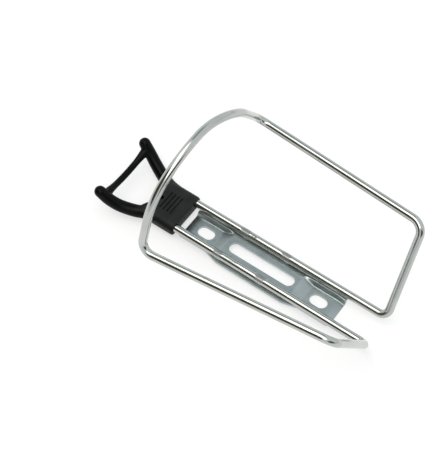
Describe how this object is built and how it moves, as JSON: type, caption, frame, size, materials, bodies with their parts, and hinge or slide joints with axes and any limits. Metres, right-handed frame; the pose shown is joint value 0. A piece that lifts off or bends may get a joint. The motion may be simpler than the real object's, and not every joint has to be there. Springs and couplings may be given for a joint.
{
  "type": "water bottle cage",
  "caption": "Wire bottle cage for a bicycle frame: bent chromed wire loop, stamped steel mounting bracket with slotted bolt holes, and a plastic clip that holds the bottle's neck.",
  "frame": {"origin": "middle of the mounting face, halfway between the two bolt holes, level with the backs of the two pressed tabs that lie on the bicycle tube", "axes": "+Z away from the bicycle tube, +Y along the bottle towards its neck, +X across the cage"},
  "size_m": [0.0924, 0.1492, 0.0842],
  "materials": {
    "chrome_wire": "bright chrome plating on drawn steel wire",
    "zinc_plate": "satin bright zinc plating on pressed sheet steel",
    "black_plastic": "black moulded plastic, fine satin grain"
  },
  "bodies": {
    "cage": {"wire_frame": "chrome_wire", "mounting_bracket": "zinc_plate"},
    "clip": {"bottle_clip": "black_plastic"}
  },
  "joints": [
    {"name": "clip_slide", "type": "slide", "parent": "cage", "child": "clip", "axis": [0, 1, 0], "range_m": [0, 0.01]}
  ]
}
